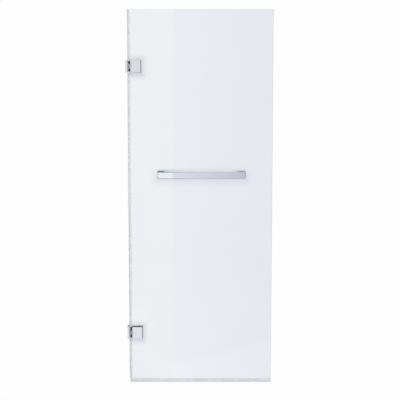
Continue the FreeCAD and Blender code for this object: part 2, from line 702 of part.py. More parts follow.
# The towel bar
def towel_bar():
    body = new_body("towel_bar")
    tube = rectangle("-bar_face", "-post_face", "bar_rise - bar_half", "bar_rise + bar_half")
    start = "bar_start + cap_thickness"
    length = "bar_length - 2 * cap_thickness"
    pad(body, outline(body, "YZ_Plane", tube, start), length)
    finish_edges(body, lambda edge, box: box.XLength > NEAR, "bar_round", "PartDesign::Fillet")
    hollow = rectangle("bar_wall - bar_face", "-post_face - bar_wall",
                       "bar_rise - bar_half + bar_wall", "bar_rise + bar_half - bar_wall")
    pocket(body, outline(body, "YZ_Plane", hollow, start), ahead=True)
    holes = circles(body, "XZ_Plane", BAR_BOLTS, "spigot_radius + fit_clearance", "post_face")
    pocket(body, holes, "bar_depth / 2", ahead=True)
    grubs = [(post, "-bar_middle") for post in POSTS]
    threads = circles(body, "XY_Plane", grubs, "grub_radius + fit_clearance", "bar_rise")
    pocket(body, threads, "bar_height")


def bar_end_caps():
    body = new_body("bar_end_caps")
    face = rectangle("-bar_face", "-post_face", "bar_rise - bar_half", "bar_rise + bar_half")
    play = "bar_wall + seat_clearance"
    plug = rectangle("%s - bar_face" % play, "-post_face - (%s)" % play,
                     "bar_rise - bar_half + %s" % play, "bar_rise + bar_half - (%s)" % play)
    pad(body, outline(body, "YZ_Plane", face, "bar_start"), "cap_thickness")
    pad(body, outline(body, "YZ_Plane", face, "bar_end"), "cap_thickness", back=True)
    finish_edges(body, lambda edge, box: box.XLength > NEAR, "bar_round", "PartDesign::Fillet")
    pad(body, outline(body, "YZ_Plane", plug, "bar_start + cap_thickness"), "cap_plug")
    pad(body, outline(body, "YZ_Plane", plug, "bar_end - cap_thickness"), "cap_plug", back=True)


def bar_post(side):
    body = new_body(side + "_bar_post")
    post = side + "_post"
    block = rectangle("%s - post_width / 2" % post, "%s + post_width / 2" % post,
                      "bar_rise - bar_half", "bar_rise + bar_half")
    pad(body, outline(body, "XZ_Plane", block, "washer_face"), "post_length")
    finish_edges(body, lambda edge, box: box.YLength > NEAR, "bar_round", "PartDesign::Fillet")
    centre = [(post, "bar_rise")]
    pad(body, circles(body, "XZ_Plane", centre, "spigot_radius", "post_face"), "spigot_length")
    thread = circles(body, "XZ_Plane", centre, "bar_bolt_radius + fit_clearance", "washer_face")
    pocket(body, thread, "bar_bolt_depth + seat_clearance", ahead=True)
    flat = circles(body, "XY_Plane", [(post, "-bar_middle")], "grub_radius + fit_clearance",
                   "bar_rise - spigot_radius / 2")
    pocket(body, flat, "spigot_radius")


def bar_grub_screws():
    body = new_body("bar_grub_screws")
    places = [(post, "-bar_middle") for post in POSTS]
    foot = "bar_rise - bar_half + bar_wall / 2"
    tip = "bar_rise - spigot_radius / 2 - fit_clearance"
    screws = circles(body, "XY_Plane", places, "grub_radius", foot)
    pad(body, screws, "%s - (%s)" % (tip, foot))
    pocket(body, hexagon(body, "XY_Plane", places, "small_key_radius", foot), "small_key_depth",
           ahead=True)


def bar_front_washers():
    body = new_body("bar_front_washers")
    inset = "post_width / 2 - gasket_inset"
    for post in POSTS:
        pads = rectangle("%s - (%s)" % (post, inset), "%s + %s" % (post, inset),
                         "bar_rise - bar_half + gasket_inset", "bar_rise + bar_half - gasket_inset")
        pad(body, outline(body, "XZ_Plane", pads, "glass_half"), "bar_washer_thickness")
    holes = circles(body, "XZ_Plane", BAR_BOLTS, "bar_bolt_bore")
    pocket(body, holes, both=True)


def bar_hole_sleeves():
    body = new_body("bar_hole_sleeves")
    outer = "bar_hole_radius - seat_clearance"
    pad(body, circles(body, "XZ_Plane", BAR_BOLTS, outer), "glass_thickness", both=True)
    pocket(body, circles(body, "XZ_Plane", BAR_BOLTS, "bar_bolt_bore"), both=True)


def bar_rear_washers():
    body = new_body("bar_rear_washers")
    outer = "disc_radius - gasket_inset"
    washers = circles(body, "XZ_Plane", BAR_BOLTS, outer, "-glass_half")
    pad(body, washers, "bar_washer_thickness", back=True)
    pocket(body, circles(body, "XZ_Plane", BAR_BOLTS, "bar_bolt_bore"), both=True)


def bar_rear_discs():
    body = new_body("bar_rear_discs")
    discs = circles(body, "XZ_Plane", BAR_BOLTS, "disc_radius", "-washer_face")
    pad(body, discs, "disc_thickness", back=True)
    face, bore = number("disc_face"), number("bar_bolt_bore")
    finish_edges(body, lambda edge, box: at(box.YMin, box.YMax, face), "disc_bevel")
    pocket(body, circles(body, "XZ_Plane", BAR_BOLTS, "bar_bolt_bore"), both=True)
    finish_edges(body, lambda edge, box: at(box.YMin, box.YMax, face) and is_round(edge, bore),
                 "bar_bolt_flare")


def bar_bolts():
    body = new_body("bar_bolts")
    countersunk_screws(body, BAR_BOLTS, "bar_bolt_radius", "bar_bolt_flare",
                       "disc_face - seat_clearance", "washer_face + bar_bolt_depth")


def check_model():
    """Stop on any failed object or on a sub-part without a valid solid."""
    doc.recompute()
    for item in doc.Objects:
        if "Invalid" in item.State or "Error" in item.State:
            raise RuntimeError("%s in %s failed" % (item.Name, item.Label))
    for body in PARTS:
        if body.Shape.isNull() or not body.Shape.isValid() or not body.Shape.Solids:
            raise RuntimeError("%s is not a valid solid" % body.Label)


def write_parts():
    """One file for each sub-part, named by its label."""
    os.makedirs("parts", exist_ok=True)
    for body in PARTS:
        body.Shape.exportStep("parts/%s.step" % body.Label)
        print(body.Label, len(body.Shape.Solids), round(body.Shape.Volume))


glass_panel()
for hinge, rise in HINGES.items():
    wall_block(hinge, rise)
    pivot_pin(hinge, rise)
    pin_lock_screw(hinge, rise)
    front_clamp_plate(hinge, rise)
    rear_clamp_body(hinge, rise)
    gasket(hinge, rise, "front", False)
    gasket(hinge, rise, "rear", True)
    pivot_bushes(hinge, rise)
    clamp_screws(hinge, rise)
    screw_sleeves(hinge, rise)
    detent_plungers(hinge, rise)
    detent_springs(hinge, rise)
    detent_stop_screws(hinge, rise)
edge_seal("lower_edge_seal", "sweep_roof + seal_gap", "-seal_break")
edge_seal("middle_edge_seal", "seal_break", "hinge_spacing - seal_break")
edge_seal("upper_edge_seal", "hinge_spacing + seal_break", "glass_top")
sweep_carrier()
sweep_wiper()
towel_bar()
bar_end_caps()
for end in ("left", "right"):
    bar_post(end)
bar_grub_screws()
bar_front_washers()
bar_hole_sleeves()
bar_rear_washers()
bar_rear_discs()
bar_bolts()
check_model()
write_parts()
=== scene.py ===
import math

import bmesh
import bpy
from bpy.props import FloatProperty, FloatVectorProperty, IntProperty, PointerProperty
from bpy.types import Operator, Panel, PropertyGroup
from mathutils import Matrix, Vector


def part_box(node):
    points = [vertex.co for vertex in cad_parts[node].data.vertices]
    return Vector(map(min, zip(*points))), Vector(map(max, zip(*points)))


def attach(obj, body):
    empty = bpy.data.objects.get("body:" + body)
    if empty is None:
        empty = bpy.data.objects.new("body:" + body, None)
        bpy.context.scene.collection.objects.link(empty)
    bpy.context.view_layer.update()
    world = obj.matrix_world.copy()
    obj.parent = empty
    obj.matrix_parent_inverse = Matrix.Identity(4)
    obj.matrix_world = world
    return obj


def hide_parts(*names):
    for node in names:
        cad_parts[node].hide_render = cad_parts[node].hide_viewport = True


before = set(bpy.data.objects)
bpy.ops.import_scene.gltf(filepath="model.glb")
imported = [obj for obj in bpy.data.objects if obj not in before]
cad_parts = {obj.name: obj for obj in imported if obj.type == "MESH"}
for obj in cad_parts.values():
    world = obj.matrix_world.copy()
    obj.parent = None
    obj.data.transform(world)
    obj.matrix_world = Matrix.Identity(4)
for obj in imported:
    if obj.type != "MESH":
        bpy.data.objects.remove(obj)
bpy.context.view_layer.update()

bl_info = {
    "name": "Pivot Tub Door",
    "version": (1, 0, 0),
    "blender": (4, 5, 0),
    "location": "View3D > Sidebar > Tub Door",
    "description": "Finishes, soft fins, stage and camera for a frameless pivot tub door",
    "category": "Object",
}

HINGES = ("lower", "upper")


def on_both_hinges(*names):
    return [side + "_" + name for side in HINGES for name in names]


# Which nodes take which finish.
HINGE_FACE_NODES = on_both_hinges("wall_block", "front_clamp_plate")
HINGE_BODY_NODES = on_both_hinges("rear_clamp_body")
POLISHED_BAR_NODES = ["towel_bar", "bar_end_caps", "left_bar_post", "right_bar_post",
                      "bar_rear_discs"]
STEEL_NODES = on_both_hinges("pivot_pin", "pin_lock_screw", "clamp_screws", "detent_springs",
                             "detent_stop_screws", "detent_plungers")
STEEL_NODES += ["bar_bolts", "bar_grub_screws"]
PAD_NODES = on_both_hinges("front_gasket", "rear_gasket")
PAD_NODES += ["bar_front_washers", "bar_rear_washers"]
BUSH_NODES = on_both_hinges("pivot_bushes", "screw_sleeves") + ["bar_hole_sleeves"]
EDGE_SEAL_NODES = ["lower_edge_seal", "middle_edge_seal", "upper_edge_seal"]


# Settings that a user would change
class StageSettings(PropertyGroup):
    """Camera, floor and studio light."""
    camera_place: FloatVectorProperty(
        name="Camera place", description="Where the camera stands",
        default=(0.288, -4.279, 1.062), subtype="TRANSLATION", unit="LENGTH")
    camera_tilt: FloatProperty(
        name="Camera tilt", description="How far the camera looks down from level",
        default=math.radians(7.094), subtype="ANGLE", unit="ROTATION")
    lens: FloatProperty(
        name="Lens", description="Focal length on a 36 mm wide sensor",
        default=99.0, min=10.0, unit="CAMERA")
    floor_drop: FloatProperty(
        name="Floor drop", description="Sweep to the floor below it",
        default=0.42, min=0.0, unit="LENGTH")
    floor_tone: FloatProperty(
        name="Floor tone", description="How much light the floor gives back",
        default=0.18, min=0.0, max=1.0, subtype="FACTOR")
    floor_radius: FloatProperty(
        name="Floor radius", description="Half width of the round floor",
        default=14.0, min=1.0, unit="LENGTH")
    floor_steps: IntProperty(
        name="Floor steps", description="Steps round the floor", default=96, min=3)
    floor_middle: FloatProperty(
        name="Floor middle", description="The wall to the middle of the floor",
        default=0.28, unit="LENGTH")
    backdrop: FloatVectorProperty(
        name="Backdrop", description="Colour of the studio behind the door",
        default=(0.982, 0.982, 0.982), size=3, min=0.0, max=1.0, subtype="COLOR")
    soft_light: FloatProperty(
        name="Soft light", description="Light from the whole studio on dull surfaces",
        default=0.82, min=0.0, max=1.0)
    key_power: FloatProperty(
        name="Key power", description="Large lamp up on the left",
        default=16.0, min=0.0, unit="POWER")
    key_size: FloatProperty(
        name="Key size", description="Width of that lamp",
        default=1.6, min=0.01, unit="LENGTH")
    key_place: FloatVectorProperty(
        name="Key place", description="Where that lamp hangs",
        default=(-1.5, -2.2, 2.4), subtype="TRANSLATION", unit="LENGTH")
    key_aim: FloatVectorProperty(
        name="Key aim", description="Where that lamp points",
        default=(0.28, 0.0, 0.55), subtype="TRANSLATION", unit="LENGTH")
    left_screen: FloatVectorProperty(
        name="Left screen", description="Bright screen that the left of the door mirrors",
        default=(0.872, 0.93, 0.86), size=3, min=0.0, max=2.0, subtype="COLOR")
    left_screen_low: FloatVectorProperty(
        name="Left screen, low", description="The bright screen's lower end",
        default=(0.80, 0.805, 0.79), size=3, min=0.0, max=2.0, subtype="COLOR")
    right_screen: FloatVectorProperty(
        name="Right screen", description="Duller screen that the right of the door mirrors",
        default=(0.755, 0.75, 0.845), size=3, min=0.0, max=2.0, subtype="COLOR")
    right_screen_end: FloatVectorProperty(
        name="Right screen, end", description="The duller screen's outer end",
        default=(0.50, 0.51, 0.58), size=3, min=0.0, max=2.0, subtype="COLOR")
    low_lamp: FloatVectorProperty(
        name="Low lamp", description="Light that a small lamp adds low on the left screen",
        default=(0.13, 0.16, 0.12), size=3, min=0.0, max=1.0, subtype="COLOR")
    middle_lamp: FloatVectorProperty(
        name="Middle lamp", description="Light that a bluish lamp adds in the left screen's middle",
        default=(0.0, 0.01, 0.12), size=3, min=0.0, max=1.0, subtype="COLOR")
    screen_join: FloatProperty(
        name="Screen join", description="Slope across at which the two screens meet",
        default=-0.025)
    screen_span: FloatProperty(
        name="Screen span", description="Slope across over which the right screen falls off",
        default=0.08, min=0.001)
    floor_sheen: FloatVectorProperty(
        name="Floor sheen", description="Light that the floor adds at the right screen's foot",
        default=(0.09, 0.115, 0.07), size=3, min=0.0, max=1.0, subtype="COLOR")
    floor_sheen_rise: FloatProperty(
        name="Floor sheen rise", description="How steeply that light's upper edge climbs",
        default=0.267)
    floor_sheen_top: FloatProperty(
        name="Floor sheen top", description="Slope down to that edge, straight ahead",
        default=-0.2725)


class GlassSettings(PropertyGroup):
    """The toughened glass panel."""
    tint: FloatVectorProperty(
        name="Tint", description="What the panel lets through",
        default=(0.864, 0.886, 0.931), size=3, min=0.0, max=1.0, subtype="COLOR")
    # Painted shade: the rim of the panel's faces is darkened, in the glass's edge green, to stand
    # in for the darker line that refraction at the polished edge gives.
    edge_shade_tint: FloatVectorProperty(
        name="Edge tint", description="The panel's rim, seen from in front",
        default=(0.92, 0.95, 0.95), size=3, min=0.0, max=1.0, subtype="COLOR")
    edge_width: FloatProperty(
        name="Edge width", description="How wide that rim is",
        default=0.0012, min=0.0, unit="LENGTH")
    ground_width: FloatProperty(
        name="Ground width", description="How far in from the edges the grinding reaches",
        default=0.00012, min=0.0, unit="LENGTH")
    ground_tint: FloatVectorProperty(
        name="Ground edge", description="The ground edges, seen along the glass",
        default=(0.50, 0.64, 0.60), size=3, min=0.0, max=1.0, subtype="COLOR")
    ground_roughness: FloatProperty(
        name="Ground roughness", description="How dull the grinding left the edges",
        default=0.4, min=0.0, max=1.0, subtype="FACTOR")
    index: FloatProperty(
        name="Index", description="Refractive index of float glass", default=1.52, min=1.0)
    coat_index: FloatProperty(
        name="Coat index", description="Refractive index of the easy-clean coat",
        default=2.1, min=1.0)
    # Painted contact shadow: the settings below darken the glass round the hinges and behind the
    # towel bar, drawn down below them.
    hinge_shadow: FloatVectorProperty(
        name="Hinge film", description="What the film next to a hinge lets through",
        default=(0.76, 0.71, 0.76), size=3, min=0.0, max=1.0, subtype="COLOR")
    bar_shadow: FloatVectorProperty(
        name="Bar film", description="What the film behind the towel bar lets through",
        default=(0.875, 0.875, 0.88), size=3, min=0.0, max=1.0, subtype="COLOR")
    shadow_reach: FloatProperty(
        name="Film reach", description="How far the film round a hinge spreads",
        default=0.032, min=0.0, unit="LENGTH")
    bar_shadow_reach: FloatProperty(
        name="Bar film reach", description="How far the film behind the bar spreads",
        default=0.040, min=0.0, unit="LENGTH")
    hinge_shadow_run: FloatProperty(
        name="Hinge film run", description="How far the film has run down below a hinge",
        default=0.007, min=0.0, unit="LENGTH")
    bar_shadow_run: FloatProperty(
        name="Bar film run", description="How far the film behind the bar has run down",
        default=0.011, min=0.0, unit="LENGTH")


class MetalSettings(PropertyGroup):
    """Polished chrome and plain steel."""
    bar_tone: FloatVectorProperty(
        name="Bar chrome", description="Mirror colour of the bar and its posts",
        default=(0.95, 0.97, 1.0), size=3, min=0.0, max=1.0, subtype="COLOR")
    # Painted shade: the hinges' chrome is a darker, bluer copy of the bar's chrome.
    hinge_shaded_tone: FloatVectorProperty(
        name="Hinge chrome", description="Mirror colour of the hinges",
        default=(0.80, 0.775, 0.90), size=3, min=0.0, max=1.0, subtype="COLOR")
    # Painted shade: the reach, grime and grease settings below darken the chrome's colour in narrow
    # gaps, on the bar's posts near the glass, and across the gap in each hinge.
    gap_reach: FloatProperty(
        name="Gap reach", description="Gaps in a hinge that are narrower than this gather grime",
        default=0.012, min=0.0, unit="LENGTH")
    post_reach: FloatProperty(
        name="Post reach", description="How near the glass the bar's posts gather grime",
        default=0.03, min=0.0, unit="LENGTH")
    post_shade: FloatProperty(
        name="Post grime", description="Power that deepens the grime on the bar's posts",
        default=2.4, min=0.0)
    face_shade: FloatProperty(
        name="Face grime", description="Power that deepens the grime on outer pieces",
        default=0.35, min=0.0)
    inner_shade: FloatProperty(
        name="Inner grime", description="Power that deepens the grime on inner pieces",
        default=9.0, min=0.0)
    neck_tone: FloatProperty(
        name="Neck tone", description="Share of its brightness that grease leaves the neck",
        default=0.45, min=0.0, max=1.0, subtype="FACTOR")
    barrel_tone: FloatProperty(
        name="Barrel tone", description="Share of its brightness that grease leaves the barrel",
        default=0.15, min=0.0, max=1.0, subtype="FACTOR")
    gap_spread: FloatProperty(
        name="Gap spread", description="How far that grease spreads to both sides of the gap",
        default=0.0055, min=0.0, unit="LENGTH")
    # Painted shade: the settings below darken the bar's chrome in lines along its ends and long
    # edges.
    edge_tone: FloatProperty(
        name="Edge tone", description="Share of its brightness that dirt leaves the bar's edges",
        default=0.42, min=0.0, max=1.0, subtype="FACTOR")
    end_spread: FloatProperty(
        name="End spread", description="How far that dirt reaches from the bar's ends",
        default=0.003, min=0.0, unit="LENGTH")
    edge_spread: FloatProperty(
        name="Edge spread", description="How far that dirt reaches from the bar's long edges",
        default=0.004, min=0.0, unit="LENGTH")
    thin_shade: FloatProperty(
        name="Thin dirt", description="Share of it on the lower edge of the bar's right half",
        default=0.38, min=0.0, max=1.0, subtype="FACTOR")
    steel_tone: FloatVectorProperty(
        name="Steel", description="Screws, pins and springs",
        default=(0.56, 0.55, 0.53), size=3, min=0.0, max=1.0, subtype="COLOR")


class SealSettings(PropertyGroup):
    """Clear vinyl seals and the soft pads."""
    vinyl_tint: FloatVectorProperty(
        name="Clear vinyl", description="Colour of what the edge seals let through",
        default=(0.97, 0.97, 0.975), size=3, min=0.0, max=1.0, subtype="COLOR")
    vinyl_clear: FloatProperty(
        name="Vinyl clearness", description="How clear, and not milky, the edge seals are",
        default=0.84, min=0.0, max=1.0, subtype="FACTOR")
    vinyl_roughness: FloatProperty(
        name="Vinyl roughness", description="How dull the edge seals and the carrier are",
        default=0.12, min=0.0, max=1.0, subtype="FACTOR")
    index: FloatProperty(
        name="Index", description="Refractive index of the soft vinyl", default=1.25, min=1.0)
    web_tone: FloatVectorProperty(
        name="Web", description="What the edge seals' thick web lets through of that",
        default=(0.72, 0.72, 0.73), size=3, min=0.0, max=1.0, subtype="COLOR")
    web_fade: FloatProperty(
        name="Web fade", description="How softly the web ends on the glass",
        default=0.001, min=0.0, unit="LENGTH")
    carrier_tint: FloatVectorProperty(
        name="Carrier vinyl", description="What the sweep's carrier lets through",
        default=(0.925, 0.925, 0.935), size=3, min=0.0, max=1.0, subtype="COLOR")
    sweep_clear: FloatProperty(
        name="Sweep clearness", description="How clear, and not milky, the sweep is",
        default=0.95, min=0.0, max=1.0, subtype="FACTOR")
    fin_tint: FloatVectorProperty(
        name="Soft vinyl", description="What the sweep's soft fins let through",
        default=(0.87, 0.87, 0.87), size=3, min=0.0, max=1.0, subtype="COLOR")
    fin_roughness: FloatProperty(
        name="Fin roughness", description="How dull the soft fins are",
        default=0.2, min=0.0, max=1.0, subtype="FACTOR")
    pad_tone: FloatVectorProperty(
        name="Pads", description="Clear-white pads between metal and glass",
        default=(0.80, 0.81, 0.82), size=3, min=0.0, max=1.0, subtype="COLOR")
    pad_roughness: FloatProperty(
        name="Pad roughness", description="How dull the pads are",
        default=0.55, min=0.0, max=1.0, subtype="FACTOR")
    bush_tone: FloatVectorProperty(
        name="Bushes", description="Plastic bushes and sleeves",
        default=(0.85, 0.85, 0.83), size=3, min=0.0, max=1.0, subtype="COLOR")
    bush_roughness: FloatProperty(
        name="Bush roughness", description="How dull the bushes and sleeves are",
        default=0.35, min=0.0, max=1.0, subtype="FACTOR")
    fin_thickness: FloatProperty(
        name="Fin thickness", description="A soft fin at its root",
        default=0.0008, min=0.0001, unit="LENGTH")
    fin_seam: FloatProperty(
        name="Fin seam", description="Gap between the fins' foot and the carrier",
        default=0.00005, min=0.0, unit="LENGTH")
    fin_bow: FloatProperty(
        name="Fin bow", description="How far a fin bows on its way down",
        default=0.0003, min=0.0, unit="LENGTH")
    fin_thinning: FloatProperty(
        name="Fin thinning", description="How much thinner a fin is at its tip",
        default=0.4, min=0.0, max=0.9, subtype="FACTOR")
    fin_rows: IntProperty(
        name="Fin rows", description="Steps down a fin", default=8, min=2)
    tip_rows: IntProperty(
        name="Tip rows", description="Steps round a fin's tip", default=4, min=1)
    fin_steps: IntProperty(
        name="Fin steps", description="Steps along a fin", default=60, min=1)
    ripple: FloatProperty(
        name="Ripple", description="How far a fin's tip wanders",
        default=0.0002, min=0.0, unit="LENGTH")
    ripple_length: FloatProperty(
        name="Ripple length", description="One ripple along a fin",
        default=0.13, min=0.01, unit="LENGTH")
    sharp_angle: FloatProperty(
        name="Sharp angle", description="Edges that fold by more than this stay sharp",
        default=math.radians(40.0), subtype="ANGLE", unit="ROTATION")


class TubDoorSettings(PropertyGroup):
    """All settings of the tub door."""
    stage: PointerProperty(type=StageSettings, name="Stage", description="Camera, floor and light")
    glass: PointerProperty(type=GlassSettings, name="Glass", description="The panel")
    metal: PointerProperty(type=MetalSettings, name="Metal", description="Chrome and steel")
    seals: PointerProperty(type=SealSettings, name="Seals", description="Vinyl, pads and bushes")


def settings():
    return bpy.context.scene.tub_door


# Node helpers
def add_node(tree, kind, **values):
    made = tree.nodes.new(kind)
    for name, value in values.items():
        setattr(made, name, value)
    return made


def wire(tree, source, target):
    tree.links.new(source, target)


def feed(tree, socket, value):
    """Wires an output in, or writes a plain value."""
    if isinstance(value, bpy.types.NodeSocket):
        tree.links.new(value, socket)
    else:
        socket.default_value = value


def feed_all(tree, node, values):
    """Feeds several inputs of a node by their names."""
    for name, value in values.items():
        feed(tree, node.inputs[name], value)


def axes(tree, vector):
    """A vector's three parts."""
    made = add_node(tree, "ShaderNodeSeparateXYZ")
    wire(tree, vector, made.inputs[0])
    return made.outputs


def calc(tree, operation, first, second=0.0, clamp=False):
    made = add_node(tree, "ShaderNodeMath", operation=operation, use_clamp=clamp)
    feed(tree, made.inputs[0], first)
    feed(tree, made.inputs[1], second)
    return made.outputs[0]


def product(tree, first, *others):
    for other in others:
        first = calc(tree, "MULTIPLY", first, other)
    return first


def ramp_between(tree, value, low, high, low_out=0.0, high_out=1.0, smooth=True):
    """Value mapped from low..high to low_out..high_out and held at the ends."""
    made = add_node(tree, "ShaderNodeMapRange",
                    interpolation_type="SMOOTHSTEP" if smooth else "LINEAR")
    feed_all(tree, made, {"Value": value, "From Min": low, "From Max": high,
                          "To Min": low_out, "To Max": high_out})
    return made.outputs["Result"]


def band(tree, value, start, full, thin, gone):
    """1 from full to thin, falling off to 0 at start and at gone."""
    return product(tree, ramp_between(tree, value, start, full),
                   ramp_between(tree, value, thin, gone, 1.0, 0.0))


def blend_colour(tree, factor, first, second, mode="MIX"):
    made = add_node(tree, "ShaderNodeMix", data_type="RGBA", blend_type=mode)
    feed(tree, made.inputs[0], factor)
    for socket, part in ((made.inputs[6], first), (made.inputs[7], second)):
        if not isinstance(part, bpy.types.NodeSocket):
            part = (*part[:3], 1.0)
        feed(tree, socket, part)
    return made.outputs[2]


def tinted(tree, colour, tint):
    return blend_colour(tree, 1.0, colour, tint, "MULTIPLY")


def scaled(values, share):
    return [value * share for value in values]


def grey(tone):
    return (tone, tone, tone)


def changing_grey(tree, value):
    """A grey of one changing value."""
    made = add_node(tree, "ShaderNodeCombineColor")
    for socket in made.inputs[:3]:
        wire(tree, value, socket)
    return made.outputs[0]


def new_group(name, inputs, output):
    """A shader group with one output. An input is a vector where its default value is one."""
    group = bpy.data.node_groups.new(name, "ShaderNodeTree")
    for label, default in inputs.items():
        kind = "NodeSocketVector" if isinstance(default, tuple) else "NodeSocketFloat"
        made = group.interface.new_socket(label, in_out="INPUT", socket_type=kind)
        made.default_value = default
    group.interface.new_socket(output, in_out="OUTPUT", socket_type="NodeSocketFloat")
    given = group.nodes.new("NodeGroupInput").outputs
    return group, given, group.nodes.new("NodeGroupOutput").inputs[output]


def stretched_noise(tree, vector, stretch, detail):
    """Noise whose grain is drawn out by a stretch vector."""
    drawn = add_node(tree, "ShaderNodeVectorMath", operation="MULTIPLY")
    feed(tree, drawn.inputs[0], vector)
    feed(tree, drawn.inputs[1], stretch)
    noise = add_node(tree, "ShaderNodeTexNoise")
    feed_all(tree, noise, {"Vector": drawn.outputs[0], "Scale": 1.0, "Detail": detail,
                           "Roughness": GRAIN_ROUGHNESS})
    return noise.outputs["Fac"]


# Effects that several finishes share
ORIGIN = (0.0, 0.0, 0.0)
NOISE_SPAN = (0.3, 0.7)    # nearly all of a noise lies between these
GRAIN_ROUGHNESS = 0.55
HAIRLINE_SLANTS = (0.5, -0.9)
HAIRLINE_STRETCH = (25.0, 600.0, 2200.0)
HAIRLINE_SPAN = (0.66, 0.72)    # only the noise's peaks become marks
DROP_SIZES = (0.10, 0.34)    # shares of a cell
DROP_RIM = 0.045
DROP_CHANCE = (0.80, 0.84)    # only the cells above these hold a drop


def build_haze():
    """Slow cloudy change, as where hands and cloths have been."""
    group, given, out = new_group(
        "Wiped Haze", {"Vector": ORIGIN, "Scale": 6.0, "Low": 0.0, "High": 1.0}, "Value")
    noise = add_node(group, "ShaderNodeTexNoise")
    feed_all(group, noise, {"Vector": given["Vector"], "Scale": given["Scale"], "Detail": 3.0})
    wire(group, ramp_between(group, noise.outputs["Fac"], *NOISE_SPAN, given["Low"], given["High"]),
         out)
    return group


def build_drawn_lines():
    """Fine lines along one direction, from drawing, brushing or extruding."""
    group, given, out = new_group(
        "Drawn Lines", {"Vector": ORIGIN, "Stretch": (2.0, 900.0, 900.0)}, "Value")
    wire(group, stretched_noise(group, given["Vector"], given["Stretch"], detail=3.0), out)
    return group


def build_hairlines():
    """Sparse thin polishing marks that cross at two slants."""
    group, given, out = new_group("Hairlines", {"Vector": ORIGIN, "Amount": 0.5}, "Mask")
    marks = []
    for slant in HAIRLINE_SLANTS:
        turned = add_node(group, "ShaderNodeVectorRotate", rotation_type="Y_AXIS")
        feed_all(group, turned, {"Vector": given["Vector"], "Angle": slant})
        noise = stretched_noise(group, turned.outputs[0], HAIRLINE_STRETCH, detail=2.0)
        marks.append(ramp_between(group, noise, *HAIRLINE_SPAN))
    wire(group, product(group, calc(group, "MAXIMUM", *marks), given["Amount"]), out)
    return group


def build_dried_drops():
    """Faint rims left by drops that have dried."""
    group, given, out = new_group(
        "Dried Drops", {"Vector": ORIGIN, "Scale": 120.0, "Amount": 0.5}, "Mask")
    cells = add_node(group, "ShaderNodeTexVoronoi", feature="F1")
    feed_all(group, cells, {"Vector": given["Vector"], "Scale": given["Scale"], "Randomness": 1.0})
    chance = add_node(group, "ShaderNodeSeparateColor")
    wire(group, cells.outputs["Color"], chance.inputs[0])
    size = ramp_between(group, chance.outputs[0], 0.0, 1.0, *DROP_SIZES)
    inside = calc(group, "SUBTRACT", cells.outputs["Distance"], size)
    rim = ramp_between(group, calc(group, "ABSOLUTE", inside), 0.0, DROP_RIM, 1.0, 0.0)
    kept = ramp_between(group, chance.outputs[1], *DROP_CHANCE)
    wire(group, product(group, rim, kept, given["Amount"]), out)
    return group


def build_rim_lines():
    """Lines across one axis: 1 at two places on it, and 0 from the width on."""
    group, given, out = new_group(
        "Rim Lines", {"Place": 0.0, "First": 0.0, "Second": 1.0, "Width": 0.001}, "Mask")
    lines = []
    for name in ("First", "Second"):
        gap = calc(group, "ABSOLUTE", calc(group, "SUBTRACT", given["Place"], given[name]))
        lines.append(ramp_between(group, gap, 0.0, given["Width"], 1.0, 0.0))
    wire(group, calc(group, "MAXIMUM", *lines), out)
    return group


def build_fitting_shadow():
    """Painted contact shadow on the glass round a fitting, thinning outwards."""
    group, given, out = new_group(
        "Painted Fitting Shadow", {"Vector": ORIGIN, "Centre": ORIGIN, "Half Size": (0.02, 0.0, 0.02),
                         "Reach": 0.02}, "Mask")
    steps = [("SUBTRACT", given["Centre"]), ("ABSOLUTE", None), ("SUBTRACT", given["Half Size"]),
             ("MAXIMUM", ORIGIN), ("MULTIPLY", (1.0, 0.0, 1.0)), ("LENGTH", None)]
    flow = given["Vector"]
    for operation, second in steps:
        made = add_node(group, "ShaderNodeVectorMath", operation=operation)
        wire(group, flow, made.inputs[0])
        if second is not None:
            feed(group, made.inputs[1], second)
        flow = made.outputs["Value" if operation == "LENGTH" else "Vector"]
    thin = calc(group, "SUBTRACT", 1.0, calc(group, "DIVIDE", flow, given["Reach"], clamp=True))
    wire(group, calc(group, "POWER", thin, 2.0), out)
    return group


EFFECTS = {"Wiped Haze": build_haze, "Drawn Lines": build_drawn_lines,
           "Hairlines": build_hairlines, "Dried Drops": build_dried_drops,
           "Rim Lines": build_rim_lines, "Painted Fitting Shadow": build_fitting_shadow}


def effect(tree, name, **values):
    """Places a shared effect in a material with its own values and returns its output."""
    group = bpy.data.node_groups.get(name) or EFFECTS[name]()
    made = add_node(tree, "ShaderNodeGroup", node_tree=group)
    feed_all(tree, made, values)
    return made.outputs[0]


def new_material(name):
    """A material with its tree, its Principled shader and its Object coordinates."""
    made = bpy.data.materials.new(name)
    made.use_nodes = True
    tree = made.node_tree
    shader = tree.nodes["Principled BSDF"]
    place = add_node(tree, "ShaderNodeTexCoord").outputs["Object"]
    return made, tree, shader, place


def bump(tree, shader, height, strength, distance):
    made = add_node(tree, "ShaderNodeBump")
    feed_all(tree, made, {"Strength": strength, "Distance": distance, "Height": height})
    wire(tree, made.outputs["Normal"], shader.inputs["Normal"])


def let_lamps_through(tree, shader, tint):
    """Lamps shine through the clear piece with its tint instead of leaving a black shadow."""
    clear = add_node(tree, "ShaderNodeBsdfTransparent")
    clear.inputs["Color"].default_value = (*tint[:3], 1.0)
    both = add_node(tree, "ShaderNodeMixShader")
    wire(tree, add_node(tree, "ShaderNodeLightPath").outputs["Is Shadow Ray"], both.inputs[0])
    wire(tree, shader.outputs[0], both.inputs[1])
    wire(tree, clear.outputs[0], both.inputs[2])
    wire(tree, both.outputs[0], tree.nodes["Material Output"].inputs["Surface"])


# Finishes
FULL_SHADE = 0.6    # share from which the painted shade lines are at their darkest
STEEL_SHADE = 0.82    # share of its tone that a finish keeps where it is darkest
VINYL_SHADE = 0.97
MOULDED_SHADE = 0.88
STEEL_ROUGHNESS = (0.20, 0.34)
VINYL_SPREAD = (0.7, 1.3)    # least and most of a finish's roughness, as shares of it
MOULDED_SPREAD = (0.8, 1.2)


